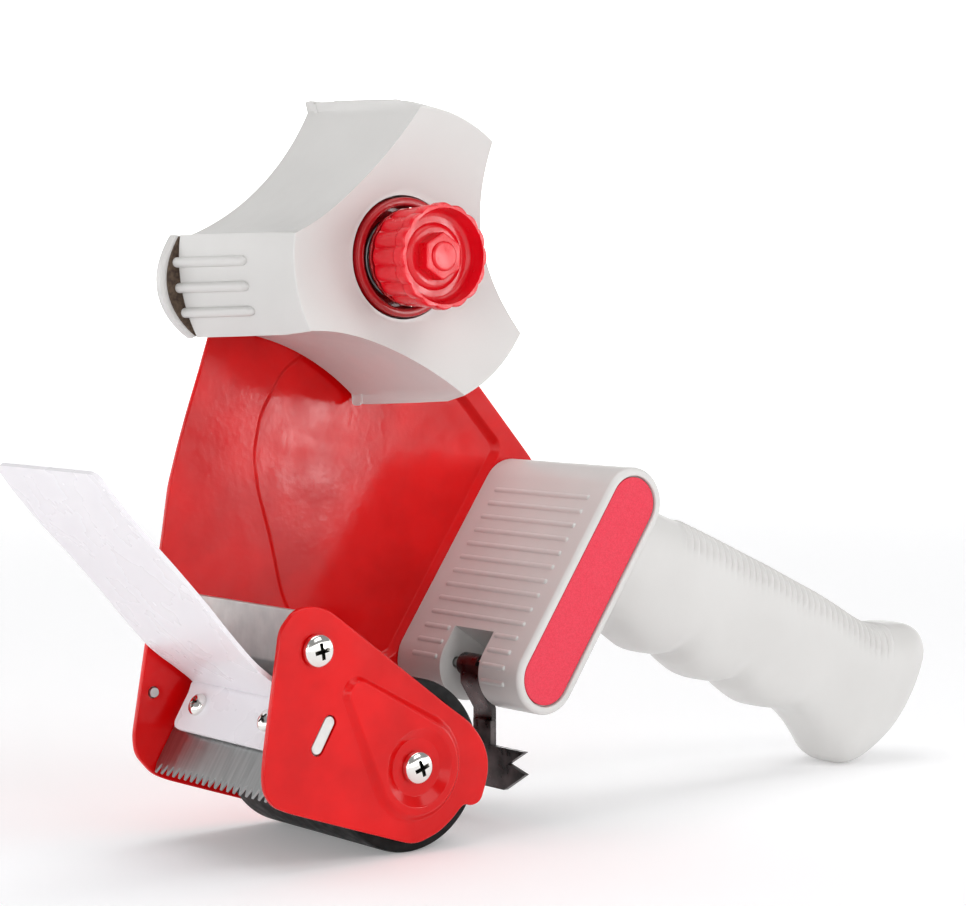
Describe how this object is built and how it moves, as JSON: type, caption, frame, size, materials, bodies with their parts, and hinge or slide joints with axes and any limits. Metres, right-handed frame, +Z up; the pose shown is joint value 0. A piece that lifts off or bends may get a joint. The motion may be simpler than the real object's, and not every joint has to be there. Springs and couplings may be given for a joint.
{
  "type": "tape dispenser",
  "caption": "Hand-held packing-tape dispenser with side plate, lobed hub, tension knob, rubber roller, toothed blade, hold-down flap, roller brake and angled grip",
  "frame": {"origin": "middle of the bounding box in X and Y, on the surface the roller and the grip's butt stand on", "axes": "X along the tool from the blade (-X) to the grip's butt (+X), Y along the hub and roller axes with the tension knob at -Y, Z up"},
  "size_m": [0.2756, 0.0654, 0.1798],
  "materials": {
    "red_paint": "gloss with a slight orange-peel",
    "red_plastic": "gloss",
    "inlay_red": "fine matte grain",
    "light_plastic": "satin moulded",
    "core_plastic": "matte",
    "clear_film": "milky translucent",
    "felt": "matte fibre",
    "rubber": "ground smooth",
    "chrome": "polished",
    "zinc": "zinc plated",
    "steel": "ground",
    "dark_steel": "blackened"
  },
  "bodies": {
    "chassis": {"side_plate": "red_paint", "cheek_plate": "red_paint", "bridge_sheet": "zinc", "clamp_bar": "zinc", "blade": "steel", "flap_foot": "clear_film", "flap_screw_near": "chrome", "flap_screw_far": "chrome", "axle": "steel", "axle_screw_near": "chrome", "axle_screw_far": "chrome", "spacer_rod": "zinc", "spacer_screw_near": "chrome", "spacer_screw_far": "chrome", "plate_rivet": "zinc", "friction_pad": "felt", "pressure_cup": "red_plastic", "tension_spring": "steel", "spindle": "zinc", "spindle_nut": "zinc", "spindle_washer": "chrome", "handle": "light_plastic", "handle_inlay": "inlay_red", "handle_screw_top": "zinc", "handle_screw_mid": "zinc", "handle_screw_low": "zinc", "brake_pin": "steel", "brake_spring": "chrome"},
    "flap": {"flap_film": "clear_film"},
    "roller": {"roller_tyre": "rubber", "roller_core": "core_plastic", "roller_bush_near": "core_plastic", "roller_bush_far": "core_plastic"},
    "hub_body": {"hub": "light_plastic"},
    "thrust": {"thrust_washer": "chrome"},
    "knob": {"tension_knob": "red_plastic", "knob_nut": "zinc"},
    "brake": {"brake_plate": "dark_steel"}
  },
  "joints": [
    {"name": "flap_flex", "type": "hinge", "parent": "chassis", "child": "flap", "pos_m": [-0.08639, 0.00112, 0.0396], "axis": [0, 1, 0], "range_deg": [-20, 25], "stiffness_Nm_per_rad": 0.05},
    {"name": "roller_spin", "type": "hinge", "parent": "chassis", "child": "roller", "pos_m": [-0.05599, 0.00112, 0.0207], "axis": [0, 1, 0], "continuous": true},
    {"name": "hub_spin", "type": "hinge", "parent": "chassis", "child": "hub_body", "pos_m": [-0.05119, 0.00158, 0.1404], "axis": [0, 1, 0], "continuous": true},
    {"name": "knob_travel", "type": "slide", "parent": "chassis", "child": "thrust", "axis": [0, 1, 0], "range_m": [-0.0013, 0.0013], "deforming": ["tension_spring"]},
    {"name": "knob_turn", "type": "hinge", "parent": "thrust", "child": "knob", "pos_m": [-0.05119, -0.02542, 0.1404], "axis": [0, 1, 0], "range_deg": [-360, 360]},
    {"name": "brake_swing", "type": "hinge", "parent": "chassis", "child": "brake", "pos_m": [-0.01739, 0.00112, 0.0384], "axis": [0, 1, 0], "range_deg": [0, 33], "stiffness_Nm_per_rad": 0.03, "deforming": ["brake_spring"]}
  ],
  "couplings": [
    {"joint": "knob_travel", "follows": "knob_turn", "m_per_rad": 0.00019894}
  ]
}
